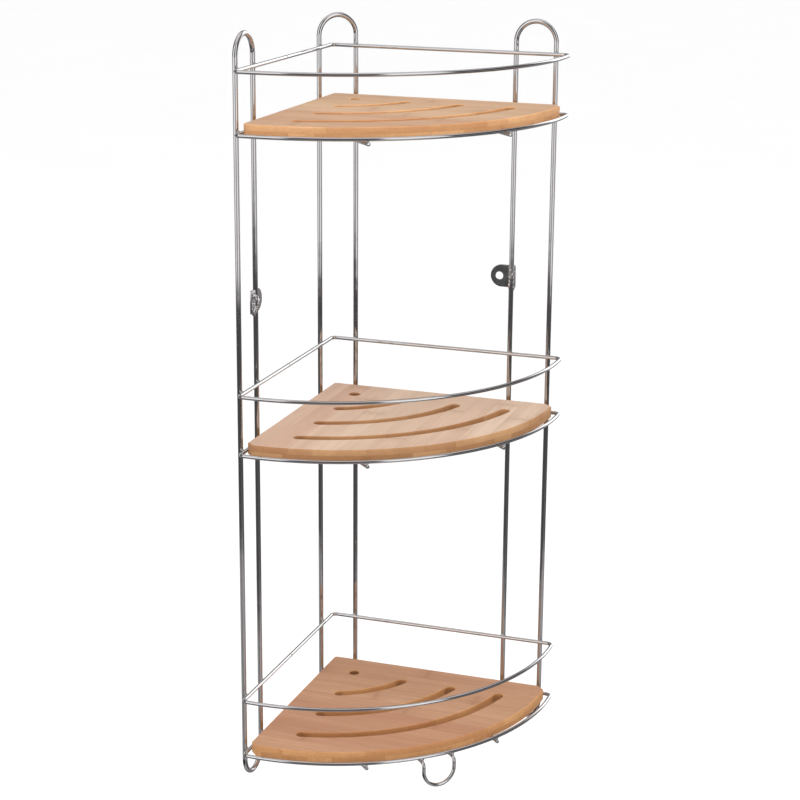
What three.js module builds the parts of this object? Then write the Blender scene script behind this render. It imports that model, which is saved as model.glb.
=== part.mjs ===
// A three-tier corner caddy for a shower: a welded frame of chromed wire that is
// screwed to the two walls of a corner, with a loose bamboo board in each tier.
//
// Millimetres, +Z up. +X runs along the back wall away from the corner, -Y runs
// along the side wall away from the corner. Inside the group every place is
// measured from the corner where the two straight sides of the rings would meet,
// at the height of the lowest shelf ring. The group is then shifted so that the
// origin is on the back face of the bracket that is screwed to the back wall.

import * as THREE from 'three';

// Wire and clearances
const UPRIGHT_WIRE_R = 2;
const RING_WIRE_R = 1.5;
const HOOK_WIRE_R = 1.5;
const WELD_GAP = 0.3; // left between two welded wires, so that they stay separate solids

// Rings: a quarter disc with two straight sides and a round front
const FRONT_ARC_R = 187;
const FRONT_ARC_CENTRE = 12; // distance of the arc's centre from either straight side
const FRONT_BEND_R = 5;
const REAR_BEND_R = 4;
const SHELF_HEIGHTS = { bottom: 0, middle: 250, top: 495 };
const GUARD_RISE = 46.5; // guard ring above its shelf ring

// Uprights: three equal closed loops of wire
const LOOP_BEND_R = 16.3;
const LOOP_OVERSHOOT = 25; // beyond the lowest and the highest ring
const WALL_LOOP_PLACE = 170.7; // middle of a wall loop, from the corner

// Support wires, two under each board, parallel to the corner's bisector
const SUPPORT_SPREAD = 58.5; // distance of each from the bisector
const SUPPORT_FRONT_STUB = 3; // end of the wire past the ring's centre line
const SUPPORT_REAR_STUB = 2;

// Boards
const BOARD_THICKNESS = 9.5;
const BOARD_SIDE_INSET = 3; // from the centre line of the ring's straight sides
const BOARD_ARC_INSET = 4.5; // from the centre line of the ring's front
const BOARD_REAR_R = 3;
const BOARD_CHAMFER = 6;
const SLOT_WIDTH = 8;
const SLOT_RADII = [84, 125, 166]; // round the corner
const SLOT_END_INSET = 35; // centre of a slot's round end, from either side
const DRAIN_HOLE_R = 4.1;
const DRAIN_HOLE_PLACE = 31.5; // from either side

// Wall brackets: a stamped flat plate with a round end and a screw hole
const BRACKET_HEIGHT = 360; // middle of the plate
const BRACKET_THICKNESS = 1.2;
const BRACKET_TALL = 18.5;
const BRACKET_REACH = 18.2; // from the upright's centre to the round end
const BRACKET_TAIL = 2.8; // from the upright's centre to the straight end
const SCREW_HOLE_R = 3.2;
const SCREW_HOLE_PLACE = 10.8; // from the upright's centre
const MOUNT_POINT_PLACE = 4.5; // from the upright's centre, between it and the hole

// Towel hook at the middle of the lowest ring's front
const HOOK_HALF_WIDTH = 13.5;
const HOOK_DROP = 21;
const HOOK_BEND_R = 4;
const HOOK_ARM = 10; // length of each arm, back from the hook's plane
const HOOK_STAND_OUT = 4; // of the hook's plane, past the ring's centre line

// Fineness
const WIRE_SIDES = 8;
const UPRIGHT_SIDES = 10;
const FRONT_ARC_STEPS = 28;
const SLOT_ARC_STEPS = 12;
const BEND_STEPS = 5;
const HALF_ROUND_STEPS = 10;

// Sizes that follow from the ones above
const LEG_OFFSET = RING_WIRE_R + WELD_GAP + UPRIGHT_WIRE_R; // ring's side to upright's centre
const SUPPORT_DROP = 2 * RING_WIRE_R + WELD_GAP; // ring's centre to support's centre
const BOARD_BOTTOM = -SUPPORT_DROP + RING_WIRE_R + WELD_GAP;
const HOOK_TOP = -(RING_WIRE_R + WELD_GAP + HOOK_WIRE_R);
const LOOP_BOTTOM = -LOOP_OVERSHOOT;
const LOOP_TOP = SHELF_HEIGHTS.top + GUARD_RISE + LOOP_OVERSHOOT;
const INNER_LEG_PLACE = WALL_LOOP_PLACE - LOOP_BEND_R;
const PLATE_FRONT = LEG_OFFSET + UPRIGHT_WIRE_R + WELD_GAP;
const PLATE_BACK = PLATE_FRONT + BRACKET_THICKNESS;
const BISECTOR_ARC_CENTRE = FRONT_ARC_CENTRE * Math.SQRT2;
const DEG = Math.PI / 180;

const CHROME = { color: 0xc9cbce, roughness: 0.12, metalness: 1 };
const DARK_CHROME = { color: 0x8f9194, roughness: 0.25, metalness: 1 };
const BAMBOO = { color: 0xd3a67c, roughness: 0.6, metalness: 0 };

// A wire's centre line, given by stations: a point and a direction wherever it
// bends. A straight run is a single step, however long it is.
class WireLine extends THREE.Curve {
  constructor(stations) {
    super();
    this.stations = stations;
    this.steps = stations.length - 1;
  }

  getPoint(t, target = new THREE.Vector3()) {
    return target.copy(this.stations[Math.round(t * this.steps)].point);
  }

  getPointAt(t, target) {
    return this.getPoint(t, target);
  }

  getTangent(t, target = new THREE.Vector3()) {
    return target.copy(this.stations[Math.round(t * this.steps)].direction);
  }

  getTangentAt(t, target) {
    return this.getTangent(t, target);
  }
}

// Stations round an arc that starts at angle `from` and ends at angle `to`, in
// the plane of the unit vectors `across` and `up`.
function arcStations(centre, radius, from, to, steps, across, up) {
  const turn = Math.sign(to - from);
  const stations = [];
  for (let i = 0; i <= steps; i += 1) {
    const angle = from + ((to - from) * i) / steps;
    const outward = across.clone().multiplyScalar(Math.cos(angle)).addScaledVector(up, Math.sin(angle));
    const along = across.clone().multiplyScalar(-Math.sin(angle)).addScaledVector(up, Math.cos(angle));
    stations.push({
      point: centre.clone().addScaledVector(outward, radius),
      direction: along.multiplyScalar(turn),
    });
  }
  return stations;
}

const X = new THREE.Vector3(1, 0, 0);
const Y = new THREE.Vector3(0, 1, 0);
const Z = new THREE.Vector3(0, 0, 1);

function closedWire(stations, radius, sides) {
  const line = new WireLine([...stations, stations[0]]);
  return new THREE.TubeGeometry(line, line.steps, radius, sides, true);
}

function openWire(stations, radius, sides) {
  const section = new THREE.Shape(arcPoints(0, 0, radius, 0, 360 * DEG, sides).slice(0, -1));
  const line = new WireLine(stations);
  return new THREE.ExtrudeGeometry(section, { steps: line.steps, extrudePath: line });
}

function arcPoints(x, y, radius, from, to, steps) {
  const points = [];
  for (let i = 0; i <= steps; i += 1) {
    const angle = from + ((to - from) * i) / steps;
    points.push(new THREE.Vector2(x + radius * Math.cos(angle), y + radius * Math.sin(angle)));
  }
  return points;
}

// One ring in the plane z = 0: rear bend, side wall side, front arc, back wall side.
function ringGeometry() {
  const bendAway = Math.sqrt((FRONT_ARC_R - FRONT_BEND_R) ** 2 - (FRONT_BEND_R - FRONT_ARC_CENTRE) ** 2);
  const bendPlace = FRONT_ARC_CENTRE + bendAway; // along a side, from the corner
  const tilt = Math.atan2(FRONT_ARC_CENTRE - FRONT_BEND_R, bendAway);
  const rear = new THREE.Vector3(REAR_BEND_R, -REAR_BEND_R, 0);
  const left = new THREE.Vector3(FRONT_BEND_R, -bendPlace, 0);
  const middle = new THREE.Vector3(FRONT_ARC_CENTRE, -FRONT_ARC_CENTRE, 0);
  const right = new THREE.Vector3(bendPlace, -FRONT_BEND_R, 0);
  const stations = [
    ...arcStations(rear, REAR_BEND_R, 90 * DEG, 180 * DEG, BEND_STEPS, X, Y),
    ...arcStations(left, FRONT_BEND_R, 180 * DEG, 270 * DEG - tilt, BEND_STEPS, X, Y),
    ...arcStations(middle, FRONT_ARC_R, -90 * DEG - tilt, tilt, FRONT_ARC_STEPS, X, Y).slice(1, -1),
    ...arcStations(right, FRONT_BEND_R, tilt, 90 * DEG, BEND_STEPS, X, Y),
  ];
  return closedWire(stations, RING_WIRE_R, WIRE_SIDES);
}

// One upright loop in the plane y = 0, its legs either side of x = 0.
function loopGeometry() {
  const top = new THREE.Vector3(0, 0, LOOP_TOP - LOOP_BEND_R);
  const bottom = new THREE.Vector3(0, 0, LOOP_BOTTOM + LOOP_BEND_R);
  const stations = [
    ...arcStations(top, LOOP_BEND_R, 0, 180 * DEG, HALF_ROUND_STEPS, X, Z),
    ...arcStations(bottom, LOOP_BEND_R, 180 * DEG, 360 * DEG, HALF_ROUND_STEPS, X, Z),
  ];
  return closedWire(stations, UPRIGHT_WIRE_R, UPRIGHT_SIDES);
}

// One support wire, lying along x = SUPPORT_SPREAD of a frame turned to the bisector.
function supportWire(side) {
  const front = BISECTOR_ARC_CENTRE + Math.sqrt(FRONT_ARC_R ** 2 - SUPPORT_SPREAD ** 2) + SUPPORT_FRONT_STUB;
  const rear = SUPPORT_SPREAD - SUPPORT_REAR_STUB;
  const geometry = new THREE.CylinderGeometry(RING_WIRE_R, RING_WIRE_R, front - rear, WIRE_SIDES);
  geometry.translate(side * SUPPORT_SPREAD, -(front + rear) / 2, -SUPPORT_DROP);
  return geometry;
}

// The outline of a board: rear corner, side wall side, chamfer, front arc,
// chamfer, back wall side.
function boardOutline() {
  const arcR = FRONT_ARC_R - BOARD_ARC_INSET;
  const centre = FRONT_ARC_CENTRE;
  const corner = centre + Math.sqrt(arcR ** 2 - (centre - BOARD_SIDE_INSET) ** 2);
  const chamferEnd = BOARD_SIDE_INSET + BOARD_CHAMFER;
  const tilt = Math.asin((centre - chamferEnd) / arcR);
  const rear = BOARD_SIDE_INSET + BOARD_REAR_R;
  return [
    ...arcPoints(rear, -rear, BOARD_REAR_R, 90 * DEG, 180 * DEG, BEND_STEPS),
    new THREE.Vector2(BOARD_SIDE_INSET, -(corner - BOARD_CHAMFER)),
    ...arcPoints(centre, -centre, arcR, -90 * DEG - tilt, tilt, FRONT_ARC_STEPS),
    new THREE.Vector2(corner - BOARD_CHAMFER, -BOARD_SIDE_INSET),
  ];
}

// An arc-shaped slot round the corner, with round ends.
function slotOutline(radius) {
  const half = SLOT_WIDTH / 2;
  const end = Math.asin(SLOT_END_INSET / radius);
  const from = -90 * DEG + end;
  const to = -end;
  const roundEnd = (angle, start) => {
    const x = radius * Math.cos(angle);
    const y = radius * Math.sin(angle);
    return arcPoints(x, y, half, start, start + 180 * DEG, BEND_STEPS + 1).slice(1, -1);
  };
  return [
    ...arcPoints(0, 0, radius + half, from, to, SLOT_ARC_STEPS),
    ...roundEnd(to, to),
    ...arcPoints(0, 0, radius - half, to, from, SLOT_ARC_STEPS),
    ...roundEnd(from, from + 180 * DEG),
  ];
}

function boardGeometry() {
  const shape = new THREE.Shape(boardOutline());
  for (const radius of SLOT_RADII) {
    shape.holes.push(new THREE.Path(slotOutline(radius)));
  }
  const hole = arcPoints(DRAIN_HOLE_PLACE, -DRAIN_HOLE_PLACE, DRAIN_HOLE_R, 0, 360 * DEG, 16);
  shape.holes.push(new THREE.Path(hole.slice(0, -1)));
  const geometry = new THREE.ExtrudeGeometry(shape, { depth: BOARD_THICKNESS, bevelEnabled: false });
  return geometry.translate(0, 0, BOARD_BOTTOM);
}

// The hook: two arms that run back under the ring, each bent down into a U.
function hookGeometry() {
  const outer = HOOK_HALF_WIDTH;
  const bend = HOOK_BEND_R;
  const back = { direction: Y.clone().negate() };
  const leftArm = { point: new THREE.Vector3(-outer, HOOK_ARM, 0), ...back };
  const leftBend = new THREE.Vector3(-outer, bend, -bend);
  const low = new THREE.Vector3(0, 0, outer - HOOK_DROP);
  const rightBend = new THREE.Vector3(outer, bend, -bend);
  const rightArm = { point: new THREE.Vector3(outer, HOOK_ARM, 0), direction: Y.clone() };
  const stations = [
    leftArm,
    ...arcStations(leftBend, bend, 90 * DEG, 180 * DEG, BEND_STEPS, Y, Z),
    ...arcStations(low, outer, 180 * DEG, 360 * DEG, 2 * HALF_ROUND_STEPS, X, Z),
    ...arcStations(rightBend, bend, 180 * DEG, 90 * DEG, BEND_STEPS, Y, Z),
    rightArm,
  ];
  return openWire(stations, HOOK_WIRE_R, WIRE_SIDES);
}

// The back wall bracket, drawn round the upright's centre line at x = 0 and
// z = 0, with its back face at y = PLATE_BACK and its round end towards -X.
function bracketGeometry() {
  const endR = BRACKET_TALL / 2;
  const plate = new THREE.Shape([
    ...arcPoints(endR - BRACKET_REACH, 0, endR, 90 * DEG, 270 * DEG, 2 * HALF_ROUND_STEPS),
    new THREE.Vector2(BRACKET_TAIL, -endR),
    new THREE.Vector2(BRACKET_TAIL, endR),
  ]);
  const hole = arcPoints(-SCREW_HOLE_PLACE, 0, SCREW_HOLE_R, 0, 360 * DEG, 2 * HALF_ROUND_STEPS);
  plate.holes.push(new THREE.Path(hole.slice(0, -1)));
  const sheet = new THREE.ExtrudeGeometry(plate, { depth: BRACKET_THICKNESS, bevelEnabled: false });
  return sheet.rotateX(90 * DEG).translate(0, PLATE_BACK, 0);
}

const caddy = new THREE.Group();

function addMesh(name, geometry, look, parent = caddy) {
  const mesh = new THREE.Mesh(geometry, new THREE.MeshStandardMaterial(look));
  mesh.name = name;
  parent.add(mesh);
  return mesh;
}

// Uprights: one on each wall and one across the corner behind the rings
function addUprights() {
  const geometry = loopGeometry();
  addMesh('upright_back_wall', geometry, CHROME).position.set(WALL_LOOP_PLACE, LEG_OFFSET, 0);
  const side = addMesh('upright_side_wall', geometry, CHROME);
  side.position.set(-LEG_OFFSET, -WALL_LOOP_PLACE, 0);
  side.rotation.z = 90 * DEG;
  const place = LOOP_BEND_R / Math.SQRT2 - LEG_OFFSET;
  const corner = addMesh('upright_corner', geometry, CHROME);
  corner.position.set(place, -place, 0);
  corner.rotation.z = 45 * DEG;
}

// A tier: shelf ring, guard ring above it, two support wires and the board
function addTiers() {
  const ring = ringGeometry();
  const board = boardGeometry();
  for (const [tier, height] of Object.entries(SHELF_HEIGHTS)) {
    addMesh(`shelf_ring_${tier}`, ring, CHROME).position.z = height;
    addMesh(`guard_ring_${tier}`, ring, CHROME).position.z = height + GUARD_RISE;
    addMesh(`board_${tier}`, board, BAMBOO).position.z = height;
    const bisector = new THREE.Group();
    bisector.position.z = height;
    bisector.rotation.z = 45 * DEG;
    caddy.add(bisector);
    addMesh(`support_wire_left_${tier}`, supportWire(-1), CHROME, bisector);
    addMesh(`support_wire_right_${tier}`, supportWire(1), CHROME, bisector);
  }
}

// The two brackets are the same stamping: the side wall's is the back wall's
// given half a turn about the corner's bisector.
function addBrackets() {
  const geometry = bracketGeometry();
  addMesh('bracket_back_wall', geometry, DARK_CHROME).position.set(INNER_LEG_PLACE, 0, BRACKET_HEIGHT);
  const side = addMesh('bracket_side_wall', geometry, DARK_CHROME);
  side.position.set(0, -INNER_LEG_PLACE, BRACKET_HEIGHT);
  side.rotateOnAxis(new THREE.Vector3(1, -1, 0).normalize(), Math.PI);
}

function addHook() {
  const out = (BISECTOR_ARC_CENTRE + FRONT_ARC_R + HOOK_STAND_OUT) / Math.SQRT2;
  const hook = addMesh('towel_hook', hookGeometry(), CHROME);
  hook.position.set(out, -out, HOOK_TOP);
  hook.rotation.z = 45 * DEG;
}

addUprights();
addTiers();
addBrackets();
addHook();
caddy.position.set(MOUNT_POINT_PLACE - INNER_LEG_PLACE, -PLATE_BACK, -BRACKET_HEIGHT);

export default caddy;
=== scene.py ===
"""A three-tier corner caddy for a shower: chromed wire, two wall brackets and three bamboo boards.

Metres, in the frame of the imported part. "Corner" is where the two straight sides of a ring would
meet: u runs from it along the back wall (+X) and v along the side wall (-Y).
"""

import math
import random

import bmesh
import bpy
from mathutils import Matrix, Vector, noise


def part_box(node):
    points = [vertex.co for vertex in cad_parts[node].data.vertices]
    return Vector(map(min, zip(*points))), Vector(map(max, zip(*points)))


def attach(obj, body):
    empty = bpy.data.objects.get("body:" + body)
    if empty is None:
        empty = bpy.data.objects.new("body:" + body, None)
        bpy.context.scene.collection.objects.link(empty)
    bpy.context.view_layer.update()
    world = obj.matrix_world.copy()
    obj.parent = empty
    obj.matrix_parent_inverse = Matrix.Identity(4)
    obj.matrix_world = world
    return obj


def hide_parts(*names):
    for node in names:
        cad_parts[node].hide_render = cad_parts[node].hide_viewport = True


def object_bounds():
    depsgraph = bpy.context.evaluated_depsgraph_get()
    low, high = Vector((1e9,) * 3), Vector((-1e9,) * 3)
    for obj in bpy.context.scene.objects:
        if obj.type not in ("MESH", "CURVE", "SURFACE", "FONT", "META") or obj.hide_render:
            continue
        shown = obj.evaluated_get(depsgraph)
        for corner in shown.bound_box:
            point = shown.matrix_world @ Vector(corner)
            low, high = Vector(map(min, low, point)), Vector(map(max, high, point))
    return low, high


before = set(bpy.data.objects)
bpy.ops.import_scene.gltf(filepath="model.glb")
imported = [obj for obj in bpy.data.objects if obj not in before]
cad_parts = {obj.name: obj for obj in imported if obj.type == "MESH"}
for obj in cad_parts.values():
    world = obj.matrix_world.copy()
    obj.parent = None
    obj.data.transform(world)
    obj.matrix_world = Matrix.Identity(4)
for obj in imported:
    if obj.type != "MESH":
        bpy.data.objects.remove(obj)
cad_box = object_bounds()

MM = 0.001
X = Vector((1, 0, 0))
Y = Vector((0, 1, 0))
Z = Vector((0, 0, 1))
TIERS = ("bottom", "middle", "top")
RIGHT = math.pi / 2

# Wire
UPRIGHT_WIRE_R = 2 * MM
RING_WIRE_R = 1.5 * MM
WELD_GAP = 0.3 * MM
WIRE_SIDES = 28
SHARP_ANGLE = math.radians(40)
CUT_END_ROUND = 0.45 * MM

# Rings
FRONT_ARC_R = 187 * MM
FRONT_ARC_CENTRE = 12 * MM
FRONT_BEND_R = 5 * MM
REAR_BEND_R = 4 * MM
SEAM_SWELL = 0.16 * MM  # how far a butt weld stands proud of the wire
SEAM_WIDTH = 0.55 * MM
SEAM_STEPS = 6  # stations on either side of the weld
SEAM_STEPS_PER_WIDTH = 2.5
FRONT_ARC_STEPS = 96
FRONT_BEND_STEPS = 14
SMALL_BEND_STEPS = 12

# Uprights
LOOP_BEND_R = 16.3 * MM
LOOP_BEND_STEPS = 36

# Support wires and the towel hook
SUPPORT_SPREAD = 58.5 * MM
SUPPORT_FRONT_STUB = 3 * MM
SUPPORT_REAR_STUB = 2 * MM
HOOK_HALF_WIDTH = 13.5 * MM
HOOK_DROP = 21 * MM
HOOK_BEND_R = 4 * MM
HOOK_ARM = 10 * MM
HOOK_STAND_OUT = 4 * MM
HOOK_BOW_STEPS = 48

# Boards
BOARD_SIDE_INSET = 3 * MM
BOARD_ARC_INSET = 4.5 * MM
BOARD_REAR_R = 3 * MM
BOARD_CHAMFER = 6 * MM
BOARD_EDGE_ROUND = 0.9 * MM
SLOT_WIDTH = 8 * MM
SLOT_RADII = (84 * MM, 125 * MM, 166 * MM)
SLOT_END_INSET = 35 * MM
SLOT_EDGE_ROUND = 0.9 * MM
DRAIN_HOLE_R = 4.1 * MM
DRAIN_HOLE_PLACE = 31.5 * MM
STAVE_WIDTH = 19 * MM
EDGE_STEPS = 5

# Brackets
BRACKET_THICKNESS = 1.2 * MM
BRACKET_TALL = 18.5 * MM
BRACKET_REACH = 18.2 * MM
BRACKET_TAIL = 2.8 * MM
BRACKET_CORNER_R = 0.6 * MM
BRACKET_EDGE_ROUND = 0.22 * MM
SCREW_HOLE_R = 3.2 * MM
SCREW_HOLE_PLACE = 10.8 * MM

# Welds
LUMP_WOBBLE = 0.16
LUMP_WOBBLE_SCALE = 1.7
CROSS_WELD_SPREAD = 1.95 * MM
CROSS_WELD_DEPTH = 1.05 * MM
RUN_TOP = 0.46  # ends of the bracket's weld, as shares of the plate's height from its middle
RUN_BOTTOM = 0.44
RUN_HALF_STEP = 0.3  # from the middle of one bead to its edge, as a share of its length
SIDE_BEAD_REACH = 1.8 * MM
ROOT_BEAD_REACH = 1.9 * MM
ROOT_BEAD_LIFT = 0.7 * MM
ROOT_BEAD_DEPTH = 1.0 * MM
FRONT_BEADS = 5
FRONT_BEAD_TOP = 0.34
FRONT_BEAD_SPACING = 0.17
FRONT_BEAD_SINK = 0.55 * MM
FUSE_VOXEL = 0.22 * MM
FUSE_SMOOTHING = 8

# Camera, at the photograph's viewing angle
CAMERA_PLACE = Vector((0.4577, -1.5798, 0.3617))
CAMERA_YAW = math.radians(19.18)
CAMERA_PITCH = math.radians(15.90)
CAMERA_ROLL = math.radians(0.43)
CAMERA_LENS = 92.54  # millimetres, on a sensor 36 mm wide


# ---------------------------------------------------------------- places taken from the frame

ring_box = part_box("shelf_ring_bottom")
CORNER_U = ring_box[0].x + RING_WIRE_R
CORNER_V = ring_box[1].y - RING_WIRE_R
LOWEST = cad_box[0].z


def middle(node):
    low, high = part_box(node)
    return (low + high) / 2


def height_of(node):
    return middle(node).z


def corner(u, v, z):
    """A point given by its distances along the back wall and along the side wall."""
    return Vector((CORNER_U + u, CORNER_V - v, z))


def bisector(out, sideways, z):
    """A point given by its distance from the corner along the bisector and to the right of it."""
    half = math.sqrt(0.5)
    return corner((out + sideways) * half, (out - sideways) * half, z)


OUT = (X - Y).normalized()
SIDEWAYS = (X + Y).normalized()
ARC_CENTRE_OUT = FRONT_ARC_CENTRE * math.sqrt(2)


# ---------------------------------------------------------------- wire

def arc(centre, radius, start, end, steps, across, up):
    """Stations, each a point and a direction, round an arc in the plane of across and up."""
    turn = 1 if end > start else -1
    stations = []
    for i in range(steps + 1):
        angle = start + (end - start) * i / steps
        outward = math.cos(angle) * across + math.sin(angle) * up
        along = math.cos(angle) * up - math.sin(angle) * across
        stations.append((centre + radius * outward, turn * along))
    return stations


def plain(stations, radius):
    return [(point, direction, radius) for point, direction in stations]


def butt_weld(point, direction, radius):
    """Stations through a butt weld, where the wire swells a little."""
    stations = []
    for i in range(-SEAM_STEPS, SEAM_STEPS + 1):
        offset = i * SEAM_WIDTH / SEAM_STEPS_PER_WIDTH
        swell = SEAM_SWELL * math.exp(-((offset / SEAM_WIDTH) ** 2))
        stations.append((point + offset * direction, direction, radius + swell))
    return stations


def round_ends(stations, radius):
    """The stations of an open wire, with its two sheared ends rounded off."""
    (first, first_way), (last, last_way) = stations[0], stations[-1]
    head, tail = [], []
    for i in range(EDGE_STEPS + 1):
        angle = RIGHT * i / EDGE_STEPS
        inset = CUT_END_ROUND * (1 - math.cos(angle))
        size = radius - CUT_END_ROUND * (1 - math.sin(angle))
        head.append((first + inset * first_way, first_way, size))
        tail.insert(0, (last - inset * last_way, last_way, size))
    return head + plain(stations[1:-1], radius) + tail


def tube_mesh(name, stations, closed, sides=WIRE_SIDES):
    """A round wire swept along stations of point, direction and radius."""
    across = stations[0][1].orthogonal()
    if closed:
        across = stations[1][1].cross(stations[0][1]) or across
    vertices, faces = [], []
    for point, direction, radius in stations:
        across = (across - across.dot(direction) * direction).normalized()
        up = direction.cross(across)
        for k in range(sides):
            angle = math.tau * k / sides
            vertices.append(point + radius * (math.cos(angle) * across + math.sin(angle) * up))
    rows = len(stations)
    for i in range(rows if closed else rows - 1):
        here, there = i * sides, (i + 1) % rows * sides
        for k in range(sides):
            n = (k + 1) % sides
            faces.append((here + k, here + n, there + n, there + k))
    if not closed:
        faces.append(tuple(reversed(range(sides))))
        faces.append(tuple(range((rows - 1) * sides, rows * sides)))
    mesh = bpy.data.meshes.new(name)
    mesh.from_pydata(vertices, [], faces)
    mesh.shade_smooth()
    mesh.set_sharp_from_angle(angle=SHARP_ANGLE)
    return mesh


def add_piece(name, mesh, material, body, slot, *nodes):
    piece = bpy.data.objects.new(name, mesh)
    bpy.context.scene.collection.objects.link(piece)
    if not mesh.materials:
        mesh.materials.append(material)
    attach(piece, body)
    if nodes:
        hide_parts(*nodes)
    return piece


def ring_stations(z):
    """A ring: rear bend, side wall side with its butt weld, front arc, back wall side."""
    away = math.sqrt((FRONT_ARC_R - FRONT_BEND_R) ** 2 - (FRONT_BEND_R - FRONT_ARC_CENTRE) ** 2)
    bend_place = FRONT_ARC_CENTRE + away
    tilt = math.atan2(FRONT_ARC_CENTRE - FRONT_BEND_R, away)
    rear = corner(REAR_BEND_R, REAR_BEND_R, z)
    left = corner(FRONT_BEND_R, bend_place, z)
    centre = corner(FRONT_ARC_CENTRE, FRONT_ARC_CENTRE, z)
    right = corner(bend_place, FRONT_BEND_R, z)
    front = arc(centre, FRONT_ARC_R, -RIGHT - tilt, tilt, FRONT_ARC_STEPS, X, Y)[1:-1]
    seam = corner(0, (REAR_BEND_R + bend_place) / 2, z)
    rear_bend = arc(rear, REAR_BEND_R, RIGHT, 2 * RIGHT, SMALL_BEND_STEPS, X, Y)
    left_bend = arc(left, FRONT_BEND_R, 2 * RIGHT, 3 * RIGHT - tilt, FRONT_BEND_STEPS, X, Y)
    right_bend = arc(right, FRONT_BEND_R, tilt, RIGHT, FRONT_BEND_STEPS, X, Y)
    return (
        plain(rear_bend, RING_WIRE_R)
        + butt_weld(seam, -Y, RING_WIRE_R)
        + plain(left_bend + front + right_bend, RING_WIRE_R)
    )


def add_rings(chrome):
    for tier in TIERS:
        for kind in ("shelf_ring", "guard_ring"):
            node = f"{kind}_{tier}"
            mesh = tube_mesh(f"wire_{node}", ring_stations(height_of(node)), closed=True)
            add_piece(f"wire_{node}", mesh, chrome, "frame", "chrome", node)


def upright_legs():
    """Centre and sideways direction of each upright loop, by its node's name."""
    return {
        "upright_back_wall": (middle("upright_back_wall"), X),
        "upright_side_wall": (middle("upright_side_wall"), Y),
        "upright_corner": (middle("upright_corner"), SIDEWAYS),
    }


def add_uprights(chrome):
    for node, (centre, sideways) in upright_legs().items():
        low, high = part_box(node)
        half = (high.z - low.z) / 2 - UPRIGHT_WIRE_R - LOOP_BEND_R
        top, bottom = centre + half * Z, centre - half * Z
        stations = arc(top, LOOP_BEND_R, 0, 2 * RIGHT, LOOP_BEND_STEPS, sideways, Z)
        stations += arc(bottom, LOOP_BEND_R, 2 * RIGHT, 4 * RIGHT, LOOP_BEND_STEPS, sideways, Z)
        mesh = tube_mesh(f"wire_{node}", plain(stations, UPRIGHT_WIRE_R), closed=True)
        add_piece(f"wire_{node}", mesh, chrome, "frame", "chrome", node)


def support_reach():
    """Where a support wire crosses a ring's side and its front, as distances out from the corner."""
    return SUPPORT_SPREAD, ARC_CENTRE_OUT + math.sqrt(FRONT_ARC_R**2 - SUPPORT_SPREAD**2)


def add_supports(chrome):
    rear, front = support_reach()
    for tier in TIERS:
        for side, sign in (("left", -1), ("right", 1)):
            node = f"support_wire_{side}_{tier}"
            z = height_of(node)
            ends = [
                (bisector(rear - SUPPORT_REAR_STUB, sign * SUPPORT_SPREAD, z), OUT),
                (bisector(front + SUPPORT_FRONT_STUB, sign * SUPPORT_SPREAD, z), OUT),
            ]
            mesh = tube_mesh(f"wire_{node}", round_ends(ends, RING_WIRE_R), closed=False)
            add_piece(f"wire_{node}", mesh, chrome, "frame", "chrome", node)


def add_hook(chrome):
    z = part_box("towel_hook")[1].z - RING_WIRE_R
    out = ARC_CENTRE_OUT + FRONT_ARC_R + HOOK_STAND_OUT
    origin = bisector(out, 0, z)
    back = -OUT
    wide, bend = HOOK_HALF_WIDTH, HOOK_BEND_R
    left = origin - wide * SIDEWAYS
    right = origin + wide * SIDEWAYS
    low = origin + (wide - HOOK_DROP) * Z
    stations = [(left + HOOK_ARM * back, OUT)]
    stations += arc(left + bend * back - bend * Z, bend, RIGHT, 2 * RIGHT, SMALL_BEND_STEPS, back, Z)
    stations += arc(low, wide, 2 * RIGHT, 4 * RIGHT, HOOK_BOW_STEPS, SIDEWAYS, Z)
    stations += arc(right + bend * back - bend * Z, bend, 2 * RIGHT, RIGHT, SMALL_BEND_STEPS, back, Z)
    stations += [(right + HOOK_ARM * back, back)]
    mesh = tube_mesh("wire_towel_hook", round_ends(stations, RING_WIRE_R), closed=False)
    add_piece("wire_towel_hook", mesh, chrome, "frame", "chrome", "towel_hook")


# ---------------------------------------------------------------- welds

def lump(metal, place, size, rng):
    """Adds one uneven blob to the weld metal. place maps the blob's own axes to the metal's."""
    seed = Vector((rng.uniform(0, 50), 0, 0))
    ball = bmesh.new()
    bmesh.ops.create_icosphere(ball, subdivisions=3, radius=1)
    for vertex in ball.verts:
        wobble = 1 + LUMP_WOBBLE * noise.noise(LUMP_WOBBLE_SCALE * vertex.co + seed)
        vertex.co = place @ Vector(vertex.co[k] * wobble * size[k] for k in range(3))
    scratch = bpy.data.meshes.new("lump")
    ball.to_mesh(scratch)
    ball.free()
    metal.from_mesh(scratch)
    bpy.data.meshes.remove(scratch)


def axes(place, along, through):
    """A matrix whose X runs along, whose Z runs through, and whose origin is place."""
    side = through.cross(along)
    turned = Matrix((along, side, through)).transposed().to_4x4()
    return Matrix.Translation(place) @ turned


def ring_weld_places(z):
    """Where a ring touches the six legs: a point between the two wires, and the way through it."""
    places = []
    between = RING_WIRE_R + WELD_GAP / 2
    for centre, sideways in upright_legs().values():
        for sign in (-1, 1):
            leg = centre + sign * LOOP_BEND_R * sideways
            on_back_wall = leg.x - CORNER_U > CORNER_V - leg.y
            if on_back_wall:
                places.append((Vector((leg.x, CORNER_V + between, z)), X, Y))
            else:
                places.append((Vector((CORNER_U - between, leg.y, z)), Y, X))
    return places


def support_weld_places(z):
    """Where the two support wires touch a shelf ring from below."""
    between = z - RING_WIRE_R - WELD_GAP / 2
    places = []
    for sign in (-1, 1):
        for out in support_reach():
            places.append((bisector(out, sign * SUPPORT_SPREAD, between), OUT, Z))
    return places


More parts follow.
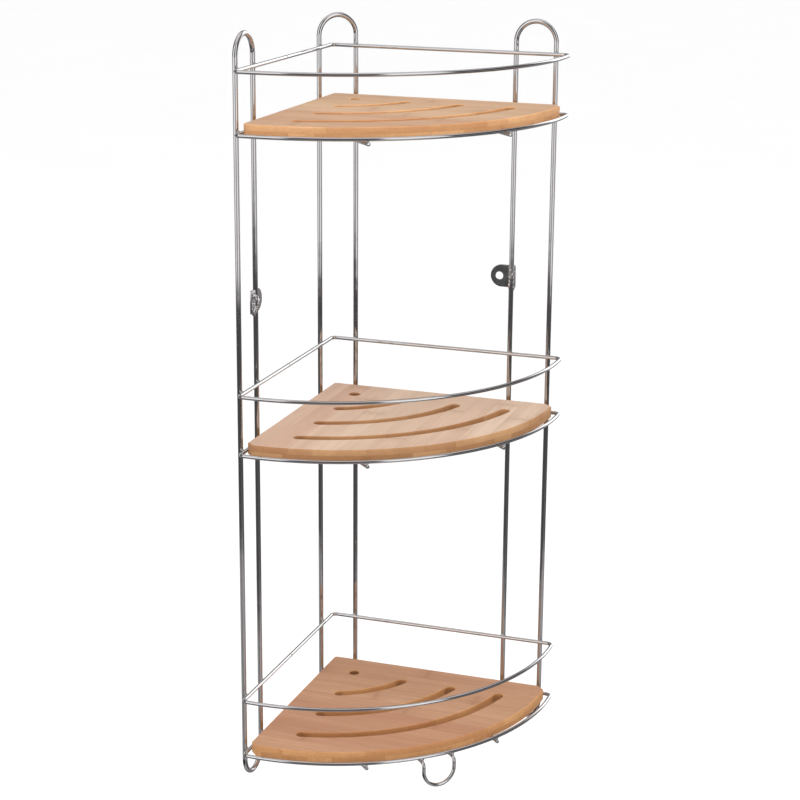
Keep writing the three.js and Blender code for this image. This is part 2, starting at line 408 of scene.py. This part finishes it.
def hook_weld_places(z):
    between = z - RING_WIRE_R - WELD_GAP / 2
    out = ARC_CENTRE_OUT + math.sqrt(FRONT_ARC_R**2 - HOOK_HALF_WIDTH**2)
    return [(bisector(out, sign * HOOK_HALF_WIDTH, between), OUT, Z) for sign in (-1, 1)]


def add_cross_welds(weld_metal):
    rng = random.Random(11)
    for tier in TIERS:
        shelf, guard = height_of(f"shelf_ring_{tier}"), height_of(f"guard_ring_{tier}")
        places = ring_weld_places(shelf) + ring_weld_places(guard) + support_weld_places(shelf)
        if tier == "bottom":
            places += hook_weld_places(shelf)
        beads = bmesh.new()
        for point, along, through in places:
            spread = CROSS_WELD_SPREAD * rng.uniform(0.88, 1.12)
            size = (spread, spread * rng.uniform(0.9, 1.1), CROSS_WELD_DEPTH)
            lump(beads, axes(point, along, through), size, rng)
        mesh = to_mesh(beads, f"welds_{tier}")
        mesh.shade_smooth()
        add_piece(f"welds_{tier}", mesh, weld_metal, "frame", "chrome")


# ---------------------------------------------------------------- sheet and board blanks

def arc_points(x, y, radius, start, end, steps):
    turn = (end - start) / steps
    angles = [start + turn * i for i in range(steps + 1)]
    return [Vector((x + radius * math.cos(a), y + radius * math.sin(a))) for a in angles]


def offset_loop(points, inset):
    """The closed outline moved sideways by inset, to the left of its direction of travel."""
    moved = []
    for i, here in enumerate(points):
        before = (here - points[i - 1]).normalized()
        after = (points[(i + 1) % len(points)] - here).normalized()
        normal = Vector((-before.y - after.y, before.x + after.x)) / (1 + before.dot(after))
        moved.append(here + inset * normal)
    return moved


def edge_profile(thickness, edge_round):
    """Inset and height, from the bottom face up to the top face, round both edges."""
    low, high = [], []
    for i in range(EDGE_STEPS + 1):
        angle = RIGHT * i / EDGE_STEPS
        inset = edge_round * (1 - math.sin(angle))
        rise = edge_round * (1 - math.cos(angle))
        low.append((inset, rise))
        high.insert(0, (inset, thickness - rise))
    return low + high


def slab(outline, holes, thickness, outline_round, hole_round):
    """A flat plate with rounded edges: outline anticlockwise, holes clockwise, in a bmesh.

    Faces of the two flat sides have material index 0, and the edges and hole walls have 1."""
    plate = bmesh.new()
    caps = [[], []]
    for points, edge_round in [(outline, outline_round)] + [(hole, hole_round) for hole in holes]:
        rows = []
        for inset, rise in edge_profile(thickness, edge_round):
            loop = offset_loop(points, inset)
            rows.append([plate.verts.new((p.x, p.y, rise)) for p in loop])
        for lower, upper in zip(rows, rows[1:]):
            for k in range(len(points)):
                n = (k + 1) % len(points)
                wall = plate.faces.new((lower[k], lower[n], upper[n], upper[k]))
                wall.material_index = 1
                wall.smooth = True
        for side, row in enumerate((rows[0], rows[-1])):
            for k in range(len(points)):
                edge = plate.edges.get((row[k], row[(k + 1) % len(points)]))
                edge.smooth = False
                caps[side].append(edge)
    for edges, way in zip(caps, (-1, 1)):
        made = bmesh.ops.triangle_fill(plate, edges=edges, use_beauty=True, normal=(0, 0, way))
        for face in made["geom"]:
            if isinstance(face, bmesh.types.BMFace):
                face.material_index = 0
    bmesh.ops.recalc_face_normals(plate, faces=plate.faces)
    return plate


def to_mesh(shape, name):
    """The bmesh as a mesh. Frees the bmesh."""
    mesh = bpy.data.meshes.new(name)
    shape.to_mesh(mesh)
    shape.free()
    return mesh


# ---------------------------------------------------------------- boards

def board_outline():
    """Anticlockwise, in u and -v."""
    arc_r = FRONT_ARC_R - BOARD_ARC_INSET
    centre = FRONT_ARC_CENTRE
    reach = centre + math.sqrt(arc_r**2 - (centre - BOARD_SIDE_INSET) ** 2)
    tilt = math.asin((centre - BOARD_SIDE_INSET - BOARD_CHAMFER) / arc_r)
    rear = BOARD_SIDE_INSET + BOARD_REAR_R
    return (
        arc_points(rear, -rear, BOARD_REAR_R, RIGHT, 2 * RIGHT, 8)
        + [Vector((BOARD_SIDE_INSET, BOARD_CHAMFER - reach))]
        + arc_points(centre, -centre, arc_r, -RIGHT - tilt, tilt, 90)
        + [Vector((reach - BOARD_CHAMFER, -BOARD_SIDE_INSET))]
    )


def slot_outline(radius):
    """A slot round the corner with round ends, clockwise."""
    half = SLOT_WIDTH / 2
    end = math.asin(SLOT_END_INSET / radius)
    start, stop = -RIGHT + end, -end

    def round_end(angle, first):
        x, y = radius * math.cos(angle), radius * math.sin(angle)
        return arc_points(x, y, half, first, first + 2 * RIGHT, 14)[1:-1]

    anticlockwise = (
        arc_points(0, 0, radius + half, start, stop, 40)
        + round_end(stop, stop)
        + arc_points(0, 0, radius - half, stop, start, 40)
        + round_end(start, start + 2 * RIGHT)
    )
    return anticlockwise[::-1]


def add_boards(materials):
    hole = arc_points(DRAIN_HOLE_PLACE, -DRAIN_HOLE_PLACE, DRAIN_HOLE_R, 4 * RIGHT, 0, 32)[:-1]
    holes = [slot_outline(radius) for radius in SLOT_RADII] + [hole]
    for tier in TIERS:
        node = f"board_{tier}"
        low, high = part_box(node)
        plate = slab(board_outline(), holes, high.z - low.z, BOARD_EDGE_ROUND, SLOT_EDGE_ROUND)
        bmesh.ops.translate(plate, verts=plate.verts, vec=corner(0, 0, low.z))
        mesh = to_mesh(plate, f"bamboo_{node}")
        for material in materials[tier]:
            mesh.materials.append(material)
        add_piece(f"bamboo_{node}", mesh, None, f"shelf_{tier}", "bamboo", node)


# ---------------------------------------------------------------- brackets

def bracket_plate():
    """The flat plate upright in x and z, its round end towards -x and its front face at y = 0.

    x = 0 is at the upright's centre."""
    end_r = BRACKET_TALL / 2
    edge = BRACKET_TAIL - BRACKET_CORNER_R
    side = end_r - BRACKET_CORNER_R
    outline = (
        arc_points(end_r - BRACKET_REACH, 0, end_r, RIGHT, 3 * RIGHT, 36)
        + arc_points(edge, -side, BRACKET_CORNER_R, -RIGHT, 0, 5)
        + arc_points(edge, side, BRACKET_CORNER_R, 0, RIGHT, 5)
    )
    hole = arc_points(-SCREW_HOLE_PLACE, 0, SCREW_HOLE_R, 4 * RIGHT, 0, 40)[:-1]
    plate = slab(outline, [hole], BRACKET_THICKNESS, BRACKET_EDGE_ROUND, BRACKET_EDGE_ROUND)
    stand = Matrix.Translation((0, BRACKET_THICKNESS, 0)) @ Matrix.Rotation(RIGHT, 4, "X")
    bmesh.ops.transform(plate, matrix=stand, verts=plate.verts)
    return plate


def bracket_places():
    """Matrices from the bracket's own axes to the row frame, by node name.

    The side wall's bracket is the back wall's given half a turn about the bisector."""
    low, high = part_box("bracket_back_wall")
    back = Vector((low.x + BRACKET_REACH, high.y - BRACKET_THICKNESS, (low.z + high.z) / 2))
    from_side = CORNER_V - middle("upright_side_wall").y - LOOP_BEND_R
    side = Vector((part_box("bracket_side_wall")[0].x + BRACKET_THICKNESS, CORNER_V - from_side, back.z))
    half_turn = Matrix.Rotation(math.pi, 4, OUT)
    return {
        "bracket_back_wall": Matrix.Translation(back),
        "bracket_side_wall": Matrix.Translation(side) @ half_turn,
    }


def bracket_weld(rng):
    """Weld metal along both sides of the upright, from the plate up, with beads lapping over it."""
    run = bmesh.new()
    leg_depth = WELD_GAP + UPRIGHT_WIRE_R

    def bead(angle, reach, z, size):
        """One bead at an angle round the upright, from the plate's plane towards the viewer."""
        x, y = reach * math.cos(angle), -leg_depth - reach * math.sin(angle)
        lump(run, Matrix.Translation((x, y, z)), size, rng)

    for side in (0, 2 * RIGHT):
        z = BRACKET_TALL * RUN_TOP
        while z > -BRACKET_TALL * RUN_BOTTOM:
            long = rng.uniform(1.8, 3.0) * MM
            z -= long * RUN_HALF_STEP
            proud = rng.uniform(0.40, 0.70) * MM
            deep = rng.uniform(0.9, 1.3) * MM
            bead(side, SIDE_BEAD_REACH, z, (proud, deep, long))
            root = Matrix.Translation((math.cos(side) * ROOT_BEAD_REACH, -ROOT_BEAD_LIFT, z))
            wide = rng.uniform(0.5, 0.75) * MM
            lump(run, root, (wide, ROOT_BEAD_DEPTH, long), rng)
            z -= long * RUN_HALF_STEP
    for i in range(FRONT_BEADS):
        spread = rng.uniform(-1.2, 1.2) * MM
        z = BRACKET_TALL * (FRONT_BEAD_TOP - FRONT_BEAD_SPACING * i) + spread
        size = rng.uniform(0.9, 1.5) * MM
        angle = math.radians(rng.uniform(25, 155))
        bead(angle, UPRIGHT_WIRE_R - FRONT_BEAD_SINK, z, (size, 0.8 * size, 1.5 * size))
    return run


def fuse(piece):
    """Joins overlapping blobs into one smooth skin."""
    remesh = piece.modifiers.new("fuse", "REMESH")
    remesh.mode = "VOXEL"
    remesh.voxel_size = FUSE_VOXEL
    remesh.use_smooth_shade = True
    smooth = piece.modifiers.new("smooth", "SMOOTH")
    smooth.factor = 0.5
    smooth.iterations = FUSE_SMOOTHING
    bpy.context.view_layer.update()
    evaluated = piece.evaluated_get(bpy.context.evaluated_depsgraph_get())
    fused = bpy.data.meshes.new_from_object(evaluated)
    piece.modifiers.clear()
    piece.data = fused


def add_brackets(steel, weld_metal):
    rng = random.Random(5)
    for node, place in bracket_places().items():
        plate = bracket_plate()
        bmesh.ops.transform(plate, matrix=place, verts=plate.verts)
        mesh = to_mesh(plate, f"plate_{node}")
        mesh.materials.append(steel)
        mesh.materials.append(steel)
        add_piece(f"plate_{node}", mesh, None, "frame", "bracket_steel", node)
        run = bracket_weld(rng)
        bmesh.ops.transform(run, matrix=place, verts=run.verts)
        bead_mesh = to_mesh(run, f"weld_{node}")
        fuse(add_piece(f"weld_{node}", bead_mesh, weld_metal, "frame", "bracket_steel"))


# ---------------------------------------------------------------- materials

# Tint, roughness and depth of the ripple
METALS = {
    "chrome_wire": ((0.57, 0.565, 0.57, 1), 0.03, 0.03 * MM),
    "chrome_weld": ((0.60, 0.59, 0.59, 1), 0.20, 0.05 * MM),
    "chrome_bracket": ((0.53, 0.52, 0.53, 1), 0.05, 0.05 * MM),
}
PIT_DEPTH = 0.0015 * MM

# Colour of the faces and of the sawn edges, whether the upper ply runs along x, seed and grain
BOARD_LOOKS = {
    "bottom": ((192, 146, 112), (206, 152, 98), True, 0.20, 1.0),
    "middle": ((212, 183, 158), (190, 143, 97), False, 0.55, 0.45),
    "top": ((195, 160, 126), (223, 170, 117), True, 0.80, 0.9),
}
# Strength of the staves' tones, fibres, flecks, glue line and painted shade in the slots, roughness, and
# relief
FACE = {"tones": 0.0, "fibres": 0.26, "flecks": 0.34, "glue": 0.0, "stain_and_painted_shade": 0.0,
        "rough": (0.40, 0.56), "relief": 0.025 * MM}
CUT = {"tones": 0.42, "fibres": 0.50, "flecks": 0.60, "glue": 0.50, "stain_and_painted_shade": 0.9,
       "rough": (0.50, 0.66), "relief": 0.05 * MM}
PLY_SHIFT = 0.37  # of a stave, between the plies
CANE_NODE_SPACING = 0.23
GLUE_HALF_HEIGHT = 0.14 * MM
# Reach of the ambient occlusion behind the painted shade that darkens the slots
PAINTED_SHADE_REACH = 9 * MM
SHELTERED = 0.50  # ambient occlusion where the painted shade is full, and where it ends
OPEN = 0.97


class Graph:
    """Shader nodes, written as short calls."""

    def __init__(self, owner):
        owner.use_nodes = True
        self.tree = owner.node_tree
        self.tree.nodes.clear()

    def add(self, kind, **settings):
        node = self.tree.nodes.new(kind)
        for name, value in settings.items():
            setattr(node, name, value)
        return node

    def put(self, socket, value):
        if isinstance(value, bpy.types.NodeSocket):
            self.tree.links.new(value, socket)
        else:
            socket.default_value = value

    def calc(self, operation, *values):
        node = self.add("ShaderNodeMath", operation=operation)
        for socket, value in zip(node.inputs, values):
            self.put(socket, value)
        return node.outputs[0]

    def place(self, space="Object"):
        """Position on the piece in metres, or the ray's direction when space is Generated."""
        return self.add("ShaderNodeTexCoord").outputs[space]

    def split(self, vector):
        parts = self.add("ShaderNodeSeparateXYZ")
        self.put(parts.inputs[0], vector)
        return parts.outputs

    def vector(self, x, y, z):
        node = self.add("ShaderNodeCombineXYZ")
        for socket, value in zip(node.inputs, (x, y, z)):
            self.put(socket, value)
        return node.outputs[0]

    def noise(self, vector, scale, detail=2.0, roughness=0.5):
        node = self.add("ShaderNodeTexNoise")
        self.put(node.inputs["Vector"], vector)
        self.put(node.inputs["Scale"], scale)
        self.put(node.inputs["Detail"], detail)
        self.put(node.inputs["Roughness"], roughness)
        return node.outputs["Fac"]

    def random(self, value):
        """Three random numbers, the same wherever value is the same."""
        node = self.add("ShaderNodeTexWhiteNoise", noise_dimensions="1D")
        self.put(node.inputs["W"], value)
        parts = self.add("ShaderNodeSeparateColor")
        self.put(parts.inputs[0], node.outputs["Color"])
        return parts.outputs

    def fit(self, value, low, high, to_low, to_high, smooth=True):
        kind = "SMOOTHSTEP" if smooth else "LINEAR"
        node = self.add("ShaderNodeMapRange", interpolation_type=kind)
        for socket, number in zip(node.inputs, (value, low, high, to_low, to_high)):
            self.put(socket, number)
        return node.outputs[0]

    def mix(self, factor, a, b, mode="MIX"):
        node = self.add("ShaderNodeMix", data_type="RGBA", blend_type=mode)
        self.put(node.inputs[0], factor)
        for socket, shade in zip(node.inputs[6:8], (a, b)):
            self.put(socket, shade)
        return node.outputs[2]

    def ramp(self, value, stops):
        """A grey that runs straight from stop to stop, each a value from -1 to 1 and its grey."""
        node = self.add("ShaderNodeValToRGB")
        self.put(node.inputs[0], self.calc("MULTIPLY_ADD", value, 0.5, 0.5))
        elements = node.color_ramp.elements
        while len(elements) < len(stops):
            elements.new(0.5)
        for element, (at, grey) in zip(elements, stops):
            element.position = (at + 1) / 2
            element.color = (grey, grey, grey, 1)
        return node.outputs[0]

    def painted_recess_shade(self, reach):
        """Painted shade: rises from 0 in the open to 1 in slots, where the piece's own walls keep the
        light out.
        """
        node = self.add("ShaderNodeAmbientOcclusion", samples=8, only_local=True)
        self.put(node.inputs["Distance"], reach)
        return self.fit(node.outputs["AO"], SHELTERED, OPEN, 1, 0)

    def bump(self, height, distance, strength=1.0, normal=None):
        node = self.add("ShaderNodeBump")
        self.put(node.inputs["Height"], height)
        self.put(node.inputs["Distance"], distance)
        self.put(node.inputs["Strength"], strength)
        if normal:
            self.put(node.inputs["Normal"], normal)
        return node.outputs["Normal"]


class MaterialGraph(Graph):
    """One material: the nodes that feed a Principled shader."""

    def __init__(self, name):
        self.material = bpy.data.materials.new(name)
        super().__init__(self.material)
        self.shader = self.add("ShaderNodeBsdfPrincipled")
        output = self.add("ShaderNodeOutputMaterial")
        self.put(output.inputs["Surface"], self.shader.outputs["BSDF"])

    def surface(self, **values):
        for name, value in values.items():
            self.put(self.shader.inputs[name.replace("_", " ")], value)


def colour(red, green, blue):
    """A linear colour from 8-bit display values."""
    linear = []
    for value in (red, green, blue):
        c = value / 255
        linear.append(c / 12.92 if c <= 0.04045 else ((c + 0.055) / 1.055) ** 2.4)
    return (*linear, 1)


def chrome_material(name, tint, roughness, ripple):
    """Bright plating over drawn wire: faint ripple, water spots and fine handling marks."""
    g = MaterialGraph(name)
    spot = g.place()
    haze = g.noise(spot, scale=55, detail=3, roughness=0.6)
    spots = g.noise(spot, scale=900, detail=2, roughness=0.5)
    dull = g.fit(haze, 0.45, 0.75, roughness, roughness + 0.06)
    dried = g.fit(spots, 0.66, 0.74, 0, 0.16)
    g.surface(Roughness=g.calc("ADD", dull, dried), Metallic=1.0)
    stain_and_painted_shade = g.fit(haze, 0.35, 0.8, 0, 0.5)
    dark = [c * 0.86 for c in tint[:3]] + [1]
    g.surface(Base_Color=g.mix(stain_and_painted_shade, tint, dark))
    wave = g.noise(spot, scale=70, detail=1, roughness=0.4)
    pits = g.noise(spot, scale=2600, detail=2, roughness=0.6)
    first = g.bump(wave, ripple)
    g.surface(Normal=g.bump(pits, PIT_DEPTH, normal=first))
    return g.material


def bamboo_material(name, base, grain_along_x, seed, grain, glue_line, look):
    """Laminated bamboo as a solid: staves side by side in two plies, the lower one crosswise.

    grain is how strongly the fibres show, glue_line is the height of the joint between the
    plies, and look is FACE or CUT."""
    g = MaterialGraph(name)
    spot = g.place()
    x, y, z = g.split(spot)
    above = g.calc("GREATER_THAN", z, glue_line)
    x_runs = above if grain_along_x else g.calc("SUBTRACT", 1.0, above)
    y_runs = g.calc("SUBTRACT", 1.0, x_runs)
    along = g.calc("ADD", g.calc("MULTIPLY", x, x_runs), g.calc("MULTIPLY", y, y_runs))
    across = g.calc("ADD", g.calc("MULTIPLY", y, x_runs), g.calc("MULTIPLY", x, y_runs))
    shift = g.calc("MULTIPLY", above, PLY_SHIFT)
    place = g.calc("ADD", g.calc("DIVIDE", across, STAVE_WIDTH), g.calc("ADD", shift, seed))
    stave = g.calc("FLOOR", place)
    fraction = g.calc("FRACT", place)
    tone, hue, knot_shift = g.random(g.calc("MULTIPLY_ADD", above, 57.3, stave))

    # Fibres run with the stave: broad bands, long streaks, finer flecks, and their dots on the ends
    long_way = g.calc("ADD", along, g.calc("MULTIPLY", tone, 3.0))

    def fibres(lengthwise, crosswise, detail):
        stretched = g.vector(
            g.calc("MULTIPLY", long_way, lengthwise),
            g.calc("MULTIPLY", across, crosswise),
            g.calc("MULTIPLY", z, crosswise),
        )
        return g.noise(stretched, scale=1, detail=detail, roughness=0.6)

    broad = fibres(6.0, 110.0, 2)
    streak = fibres(14.0, 420.0, 4)
    fibre = fibres(45.0, 2300.0, 2)
    flecks = g.fit(fibres(130.0, 3400.0, 1), 0.60, 0.74, 0, 1)

    # Nodes of the cane: an uneven darker band across a stave, at its own place in each
    waver = g.calc("MULTIPLY", g.calc("SUBTRACT", streak, 0.5), 0.05)
    cane = g.calc("ADD", g.calc("DIVIDE", along, CANE_NODE_SPACING), g.calc("MULTIPLY", knot_shift, 5.0))
    band = g.calc("ABSOLUTE", g.calc("SUBTRACT", g.calc("FRACT", g.calc("ADD", cane, waver)), 0.5))
    knot = g.fit(band, 0.004, 0.012, 1, 0)
    halo = g.fit(band, 0.01, 0.07, 1, 0)

    joint = g.calc("ABSOLUTE", g.calc("SUBTRACT", fraction, 0.5))
    seam = g.fit(joint, 0.488, 0.496, 0, 1)
    glue = g.calc("LESS_THAN", g.calc("ABSOLUTE", g.calc("SUBTRACT", z, glue_line)), GLUE_HALF_HEIGHT)

    brown = [base[0] * 0.62, base[1] * 0.50, base[2] * 0.40, 1]
    pale = [min(base[0] * 1.15, 1), base[1] * 1.21, base[2] * 1.28, 1]
    pink = [base[0] * 0.95, base[1] * 0.84, base[2] * 0.85, 1]
    wood = g.mix(g.fit(tone, 0, 1, 0, 1, False), base, pale)
    wood = g.mix(g.fit(hue, 0.3, 1, 0, 0.9, False), wood, pink)
    layers = (
        (g.fit(hue, 0.35, 0.75, 0, 1), look["tones"]),
        (g.fit(broad, 0.35, 0.75, 0, 1), 0.28),
        (g.fit(streak, 0.42, 0.75, 0, 1), 0.34 * grain),
        (g.fit(fibre, 0.40, 0.80, 0, 1), look["fibres"] * grain),
        (flecks, look["flecks"] * grain),
        (halo, 0.16),
        (knot, 0.36),
        (seam, 0.36),
        (glue, look["glue"]),
        (g.fit(g.noise(spot, scale=16, detail=3, roughness=0.6), 0.45, 0.8, 0, 1), 0.18),
    )
    for mask, strength in layers:
        wood = g.mix(g.calc("MULTIPLY", mask, strength), wood, brown)
    # Painted shade: the sawn walls darken inside the slots, where ambient occlusion is low
    if look["stain_and_painted_shade"]:
        stain_and_painted_shade = g.calc("MULTIPLY", g.painted_recess_shade(PAINTED_SHADE_REACH), look["stain_and_painted_shade"] * grain)
        wood = g.mix(stain_and_painted_shade, wood, [c * 0.55 for c in brown[:3]] + [1])

    wear = g.noise(spot, scale=38, detail=4, roughness=0.6)
    rough = g.fit(wear, 0.3, 0.7, *look["rough"])
    g.surface(Base_Color=wood, Roughness=rough)
    relief = g.calc("SUBTRACT", fibre, g.calc("MULTIPLY", seam, 0.8))
    g.surface(Normal=g.bump(relief, look["relief"], 0.7))
    return g.material


def board_materials():
    """For each tier, the material of its two faces and of its sawn edges."""
    made = {}
    for tier, (face, edge, *grain) in BOARD_LOOKS.items():
        glue_line = height_of(f"board_{tier}")
        made[tier] = (
            bamboo_material(f"bamboo_face_{tier}", colour(*face), *grain, glue_line, FACE),
            bamboo_material(f"bamboo_edge_{tier}", colour(*edge), *grain, glue_line, CUT),
        )
    return made


# ---------------------------------------------------------------- camera, light and floor

FLOOR_Z = LOWEST - 0.30
FLOOR_RADIUS = 14.0
FLOOR_SIDES = 96
STUDIO_LIGHT = 1.06  # radiance of the even light
# What the metal mirrors: the studio's radiance at the sine of each elevation, in front of
# the object and behind it, and then its panels
STUDIO_FRONT = (
    (-0.87, 0.45), (-0.76, 0.05), (-0.50, 0.04), (-0.46, 0.42), (-0.362, 0.46), (-0.347, 0.10),
    (-0.22, 0.10), (-0.205, 0.52), (-0.09, 0.52), (0.01, 0.05), (0.55, 0.06), (0.92, 0.95),
)
STUDIO_BACK = ((-0.60, 0.28), (0.0, 0.40), (0.30, 0.22), (0.60, 0.30), (0.90, 1.10))
STUDIO_WARMTH = (1.035, 0.985, 0.985, 1)
# Centre and half width of the bearing from the camera's side, lowest and highest elevation and
# radiance. The third is a dark flag, which the back wall's bracket mirrors.
STUDIO_PANELS = (
    (-48, 25, -11.7, 45, 1.40),
    (42, 16, -12.2, 45, 1.55),
    (-32, 8, -40, -9, 0.07),
    (40, 15, -75.0, -21.5, 0.60),
    (146, 18, -6.0, 34, 2.10),
    (-150, 14, -30.0, 30, 0.75),
)
PANEL_SOFT_SIDE = 4  # degrees over which a panel's edge fades, to either side of it
PANEL_SOFT_LOW = 0.8
PANEL_SOFT_HIGH = 6
BACK_STARTS, BACK_FULL = 108, 126  # bearings from the camera's side
# Name, place, target, size and radiance
SOFTBOXES = (
    ("softbox_over", (0.1, -0.5, 1.45), (-0.08, -0.08, 0.0), (1.3, 1.3), 1.9),
    ("softbox_left", (-1.7, -1.2, 0.7), (-0.08, -0.08, -0.05), (0.8, 1.2), 1.3),
    ("softbox_right", (1.9, -0.6, 0.8), (-0.08, -0.08, -0.05), (0.8, 1.2), 1.2),
)


def add_camera():
    data = bpy.data.cameras.new("camera")
    data.sensor_width = 36
    data.lens = CAMERA_LENS
    camera = bpy.data.objects.new("camera", data)
    turn = Matrix.Rotation(CAMERA_YAW, 4, "Z") @ Matrix.Rotation(RIGHT - CAMERA_PITCH, 4, "X")
    roll = Matrix.Rotation(CAMERA_ROLL, 4, "Z")
    camera.matrix_world = Matrix.Translation(CAMERA_PLACE) @ turn @ roll
    bpy.context.scene.collection.objects.link(camera)
    bpy.context.scene.camera = camera


def add_softbox(name, place, target, size, radiance):
    data = bpy.data.lights.new(name, "AREA")
    data.shape = "RECTANGLE"
    data.size, data.size_y = size
    data.energy = radiance * math.pi * size[0] * size[1]
    light = bpy.data.objects.new(name, data)
    light.location = place
    light.rotation_euler = (Vector(target) - Vector(place)).to_track_quat("-Z", "Y").to_euler()
    light.visible_camera = False
    light.visible_glossy = False  # reflections see the studio that the world paints
    bpy.context.scene.collection.objects.link(light)


def stage_mesh(name, mesh, material):
    mesh.materials.append(material)
    thing = bpy.data.objects.new(name, mesh)
    bpy.context.scene.collection.objects.link(thing)
    return thing


def add_floor():
    g = MaterialGraph("floor_white")
    speckle = g.fit(g.noise(g.place(), scale=3, detail=2, roughness=0.5), 0, 1, 0.93, 0.96, False)
    white = g.add("ShaderNodeCombineColor")
    for socket in white.inputs:
        g.put(socket, speckle)
    g.surface(Base_Color=white.outputs[0], Roughness=0.9)
    points = arc_points(0, 0, FLOOR_RADIUS, 0, 4 * RIGHT, FLOOR_SIDES)[:-1]
    disc = bpy.data.meshes.new("floor")
    disc.from_pydata([(p.x, p.y, FLOOR_Z) for p in points], [], [tuple(range(FLOOR_SIDES))])
    floor = stage_mesh("floor", disc, g.material)
    floor.visible_glossy = False  # the world's lower half stands for the studio in reflections


def panel(g, seen, bearing, elevation, centre, half, low, high, radiance):
    """What is seen, with one panel in front of it. Angles are in degrees."""
    off = g.calc("ABSOLUTE", g.calc("WRAP", g.calc("SUBTRACT", bearing, centre), -180.0, 180.0))
    across = g.fit(off, half - PANEL_SOFT_SIDE, half + PANEL_SOFT_SIDE, 1, 0)
    above = g.fit(elevation, low - PANEL_SOFT_LOW, low + PANEL_SOFT_LOW, 0, 1)
    below = g.fit(elevation, high - PANEL_SOFT_HIGH, high + PANEL_SOFT_HIGH, 1, 0)
    inside = g.calc("MULTIPLY", g.calc("MULTIPLY", above, below), across)
    return g.mix(inside, seen, (radiance, radiance, radiance, 1))


def add_world():
    """White behind the object, even light on it, and in reflections the painted studio."""
    world = bpy.data.worlds.new("studio")
    g = Graph(world)
    x, y, z = g.split(g.place("Generated"))
    camera_bearing = math.degrees(math.atan2(CAMERA_PLACE.y, CAMERA_PLACE.x))
    turned = g.calc("DEGREES", g.calc("ARCTAN2", y, x))
    bearing = g.calc("WRAP", g.calc("SUBTRACT", turned, camera_bearing), -180.0, 180.0)
    elevation = g.calc("DEGREES", g.calc("ARCSINE", z))
    behind = g.fit(g.calc("ABSOLUTE", bearing), BACK_STARTS, BACK_FULL, 0, 1)
    studio = g.mix(behind, g.ramp(z, STUDIO_FRONT), g.ramp(z, STUDIO_BACK))
    studio = g.mix(1.0, studio, STUDIO_WARMTH, "MULTIPLY")
    for values in STUDIO_PANELS:
        studio = panel(g, studio, bearing, elevation, *values)
    ray = g.add("ShaderNodeLightPath").outputs
    light = g.mix(ray["Is Glossy Ray"], (STUDIO_LIGHT, STUDIO_LIGHT, STUDIO_LIGHT, 1), studio)
    seen = g.mix(ray["Is Camera Ray"], light, (1, 1, 1, 1))
    background = g.add("ShaderNodeBackground")
    g.put(background.inputs["Color"], seen)
    g.put(g.add("ShaderNodeOutputWorld").inputs["Surface"], background.outputs[0])
    bpy.context.scene.world = world


def add_studio():
    bpy.context.scene.view_settings.view_transform = "Standard"
    add_world()
    add_floor()
    for softbox in SOFTBOXES:
        add_softbox(*softbox)


# ---------------------------------------------------------------- the caddy

def add_caddy():
    chrome, weld_metal, steel = [chrome_material(name, *look) for name, look in METALS.items()]
    add_uprights(chrome)
    add_rings(chrome)
    add_supports(chrome)
    add_hook(chrome)
    add_cross_welds(weld_metal)
    add_boards(board_materials())
    add_brackets(steel, weld_metal)


add_camera()
add_studio()
add_caddy()
